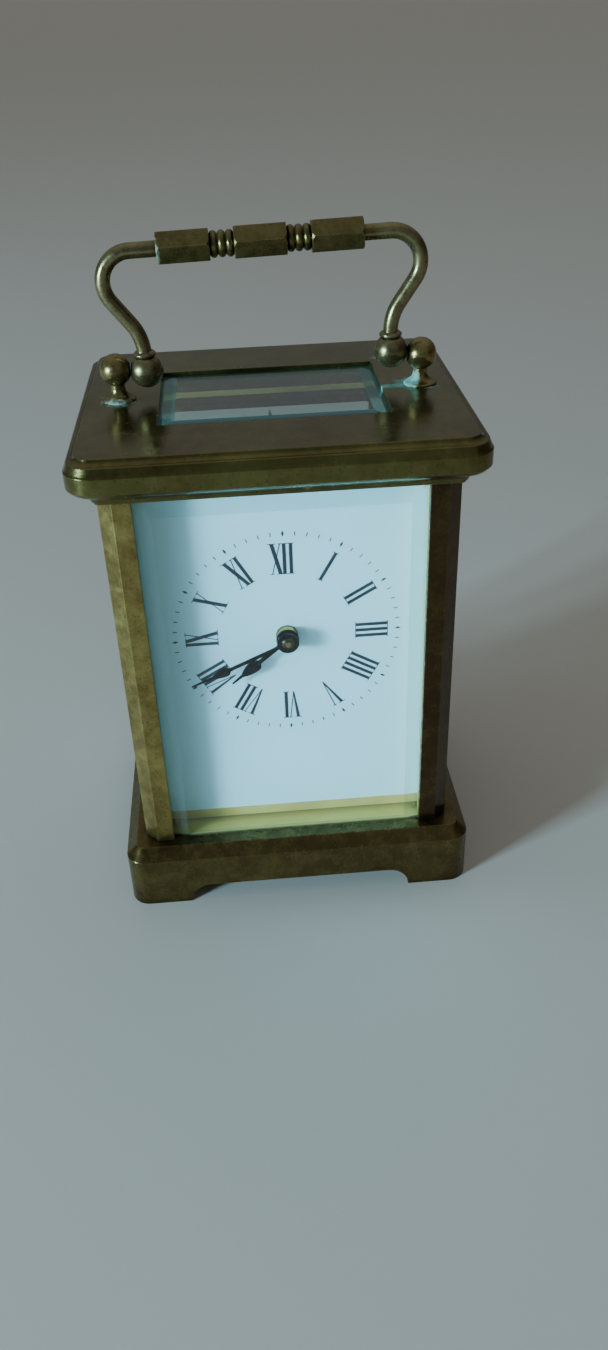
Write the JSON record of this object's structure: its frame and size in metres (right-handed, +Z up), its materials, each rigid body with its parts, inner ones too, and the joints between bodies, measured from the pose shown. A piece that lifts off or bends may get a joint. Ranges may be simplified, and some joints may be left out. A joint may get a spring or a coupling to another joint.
{
  "type": "carriage clock",
  "caption": "Portable spring clock: glazed brass case with swinging top handle, rectangular white dial with spade hands, hinged rear door and lever platform movement.",
  "frame": {"origin": "middle of the clock's footprint, on the surface its feet stand on", "axes": "+X to the viewer's right facing the dial, +Y from the dial to the rear door, +Z up through the handle"},
  "size_m": [0.0828, 0.0716, 0.1471],
  "materials": {
    "aged_brass": "dull aged brass with brown patina",
    "movement_brass": "satin yellow brass",
    "gilt_plate": "grained gilt",
    "polished_steel": "polished",
    "blued_steel": "blued",
    "enamel": "glossy white vitreous enamel",
    "bevelled_glass": "clear bevelled plate",
    "ruby": "polished synthetic ruby"
  },
  "bodies": {
    "case": {"base_plinth": "aged_brass", "pillar_front_left": "aged_brass", "pillar_front_right": "aged_brass", "pillar_rear_left": "aged_brass", "pillar_rear_right": "aged_brass", "deck_screws": "polished_steel", "cornice": "aged_brass", "front_glass": "bevelled_glass", "left_glass": "bevelled_glass", "right_glass": "bevelled_glass", "top_glass": "bevelled_glass", "top_glass_retainer": "aged_brass", "retainer_screws": "polished_steel", "door_hinge_pins": "polished_steel", "finial_left": "aged_brass", "finial_right": "aged_brass", "handle_pivots": "polished_steel", "dial_plate": "enamel", "dial_back_plate": "movement_brass", "front_plate": "movement_brass", "back_plate": "movement_brass", "movement_pillars": "movement_brass", "plate_screws": "polished_steel", "click_screws": "polished_steel", "click_spring": "polished_steel", "platform_plate": "gilt_plate", "platform_screws": "polished_steel", "escape_potence": "movement_brass", "escape_bridge": "gilt_plate", "balance_cock": "gilt_plate", "hairspring": "blued_steel"},
    "door": {"door_frame": "aged_brass", "door_glass": "bevelled_glass", "door_knob": "aged_brass"},
    "handle": {"handle_ball_left": "aged_brass", "handle_ball_right": "aged_brass", "handle_arm_left": "aged_brass", "handle_arm_right": "aged_brass", "handle_grip": "aged_brass"},
    "centre": {"centre_wheel": "movement_brass", "cannon_pinion": "movement_brass", "minute_hand": "blued_steel", "hand_collet": "movement_brass"},
    "hour": {"hour_wheel": "movement_brass", "hour_hand": "blued_steel"},
    "minute_work": {"minute_wheel": "movement_brass"},
    "going_barrel": {"barrel": "movement_brass", "barrel_cover": "movement_brass", "mainspring": "blued_steel"},
    "winding": {"barrel_arbor": "polished_steel", "ratchet_wheel": "polished_steel"},
    "pawl": {"click": "polished_steel"},
    "third": {"third_wheel": "movement_brass"},
    "contrate": {"contrate_wheel": "movement_brass"},
    "escape": {"escape_wheel": "movement_brass"},
    "lever": {"pallet_lever": "polished_steel", "pallet_stones": "ruby"},
    "balance": {"balance_wheel": "movement_brass", "balance_staff": "polished_steel"},
    "index": {"regulator": "polished_steel"}
  },
  "joints": [
    {"name": "handle_swing", "type": "hinge", "parent": "case", "child": "handle", "pos_m": [0, 0, 0.1194], "axis": [1, 0, 0], "range_deg": [-96, 96]},
    {"name": "rear_door_swing", "type": "hinge", "parent": "case", "child": "door", "pos_m": [0.0274, 0.0286, 0.0593], "axis": [0, 0, -1], "range_deg": [0, 95]},
    {"name": "centre_spin", "type": "hinge", "parent": "case", "child": "centre", "pos_m": [0, 0, 0.0667], "axis": [0, 1, 0], "continuous": true},
    {"name": "minute_wheel_spin", "type": "hinge", "parent": "case", "child": "minute_work", "pos_m": [0.00386, -0.02, 0.0621], "axis": [0, 1, 0], "continuous": true},
    {"name": "hour_spin", "type": "hinge", "parent": "case", "child": "hour", "pos_m": [0, -0.022, 0.0667], "axis": [0, 1, 0], "continuous": true},
    {"name": "barrel_spin", "type": "hinge", "parent": "case", "child": "going_barrel", "pos_m": [-0.006, 0, 0.04745], "axis": [0, 1, 0], "continuous": true},
    {"name": "third_spin", "type": "hinge", "parent": "case", "child": "third", "pos_m": [0.01033, 0, 0.07539], "axis": [0, 1, 0], "continuous": true},
    {"name": "contrate_spin", "type": "hinge", "parent": "case", "child": "contrate", "pos_m": [0, 0, 0.0813], "axis": [0, 1, 0], "continuous": true},
    {"name": "escape_spin", "type": "hinge", "parent": "case", "child": "escape", "pos_m": [0, 0.0003, 0.092], "axis": [0, 0, 1], "continuous": true},
    {"name": "winding_turn", "type": "hinge", "parent": "case", "child": "winding", "pos_m": [-0.006, 0.014, 0.04745], "axis": [0, 1, 0], "continuous": true},
    {"name": "click_lift", "type": "hinge", "parent": "case", "child": "pawl", "pos_m": [0.001, 0.0147, 0.05605], "axis": [0, 1, 0], "range_deg": [0, 12]},
    {"name": "lever_swing", "type": "hinge", "parent": "case", "child": "lever", "pos_m": [0, 0.00396, 0.0936], "axis": [0, 0, 1], "range_deg": [-5, 5]},
    {"name": "balance_swing", "type": "hinge", "parent": "case", "child": "balance", "pos_m": [0, 0.0074, 0.097], "axis": [0, 0, 1], "range_deg": [-140, 140], "stiffness_Nm_per_rad": 0.0000059},
    {"name": "regulator_turn", "type": "hinge", "parent": "case", "child": "index", "pos_m": [0, 0.0074, 0.1018], "axis": [0, 0, 1], "range_deg": [-20, 20]}
  ],
  "couplings": [
    {"joint": "minute_wheel_spin", "follows": "centre_spin", "ratio": -0.33333},
    {"joint": "hour_spin", "follows": "centre_spin", "ratio": 0.083333},
    {"joint": "barrel_spin", "follows": "centre_spin", "ratio": -0.14286},
    {"joint": "third_spin", "follows": "centre_spin", "ratio": -8},
    {"joint": "contrate_spin", "follows": "centre_spin", "ratio": 60},
    {"joint": "escape_spin", "follows": "centre_spin", "ratio": -600}
  ]
}
